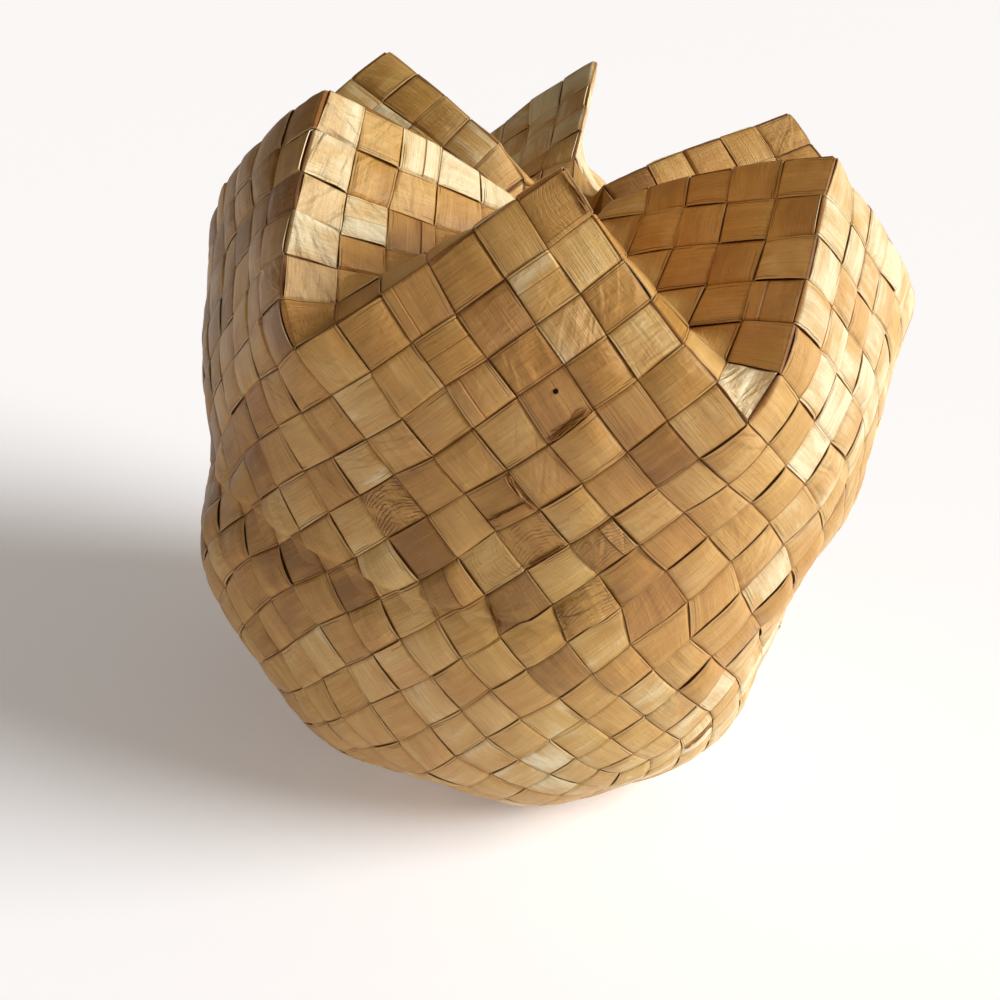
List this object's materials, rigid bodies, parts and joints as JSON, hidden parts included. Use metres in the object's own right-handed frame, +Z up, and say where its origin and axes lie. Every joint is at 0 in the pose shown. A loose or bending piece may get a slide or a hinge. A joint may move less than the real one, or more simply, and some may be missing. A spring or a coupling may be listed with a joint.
{
  "type": "lauhala basket",
  "caption": "Round plaited basket of flat pandanus leaf strips, its top folded into raised points that meet round a small central mouth.",
  "frame": {"origin": "centre of the footprint, on the plane the basket stands on", "axes": "+Z up through the mouth, -Y towards the point that faces the viewer in the picture"},
  "size_m": [0.2516, 0.2376, 0.2458],
  "materials": {
    "leaf": "satin"
  },
  "bodies": {
    "root": {"leaf_strip_01_right_to_back": "leaf", "leaf_strip_02_back_right_to_front": "leaf", "leaf_strip_03_right_to_left": "leaf", "leaf_strip_04_left_to_back": "leaf", "leaf_strip_05_back_left_to_back_right": "leaf", "leaf_strip_06_back_to_right": "leaf", "leaf_strip_07_right_to_back": "leaf", "leaf_strip_08_right_to_left": "leaf", "leaf_strip_09_back_right_to_front": "leaf", "leaf_strip_10_back_left_to_back_right": "leaf", "leaf_strip_11_left_to_back": "leaf", "leaf_strip_12_right_to_back": "leaf", "leaf_strip_13_right_to_left": "leaf", "leaf_strip_14_back_right_to_front": "leaf", "leaf_strip_15_back_left_to_back_right": "leaf", "leaf_strip_16_left_to_back": "leaf", "leaf_strip_17_right_to_back": "leaf", "leaf_strip_18_back_left_to_back_right": "leaf", "leaf_strip_19_left_to_back": "leaf", "leaf_strip_20_right_to_back": "leaf", "leaf_strip_21_back_left_to_back_right": "leaf", "leaf_strip_22_left_to_back": "leaf", "leaf_strip_23_back_left_to_back_right": "leaf", "leaf_strip_24_left_to_back": "leaf", "leaf_strip_25_front_to_back_left": "leaf", "leaf_strip_26_front_to_back_left": "leaf", "leaf_strip_27_front_to_back_left": "leaf", "leaf_strip_28_front_to_back_left": "leaf", "leaf_strip_29_front_to_back_left": "leaf", "leaf_strip_30_front_to_back_left": "leaf", "leaf_strip_31_back_right_to_front": "leaf", "leaf_strip_32_right_to_left": "leaf", "leaf_strip_33_back_right_to_front": "leaf", "leaf_strip_34_right_to_left": "leaf", "leaf_strip_35_back_right_to_front": "leaf", "leaf_strip_36_right_to_left": "leaf"}
  },
  "joints": []
}
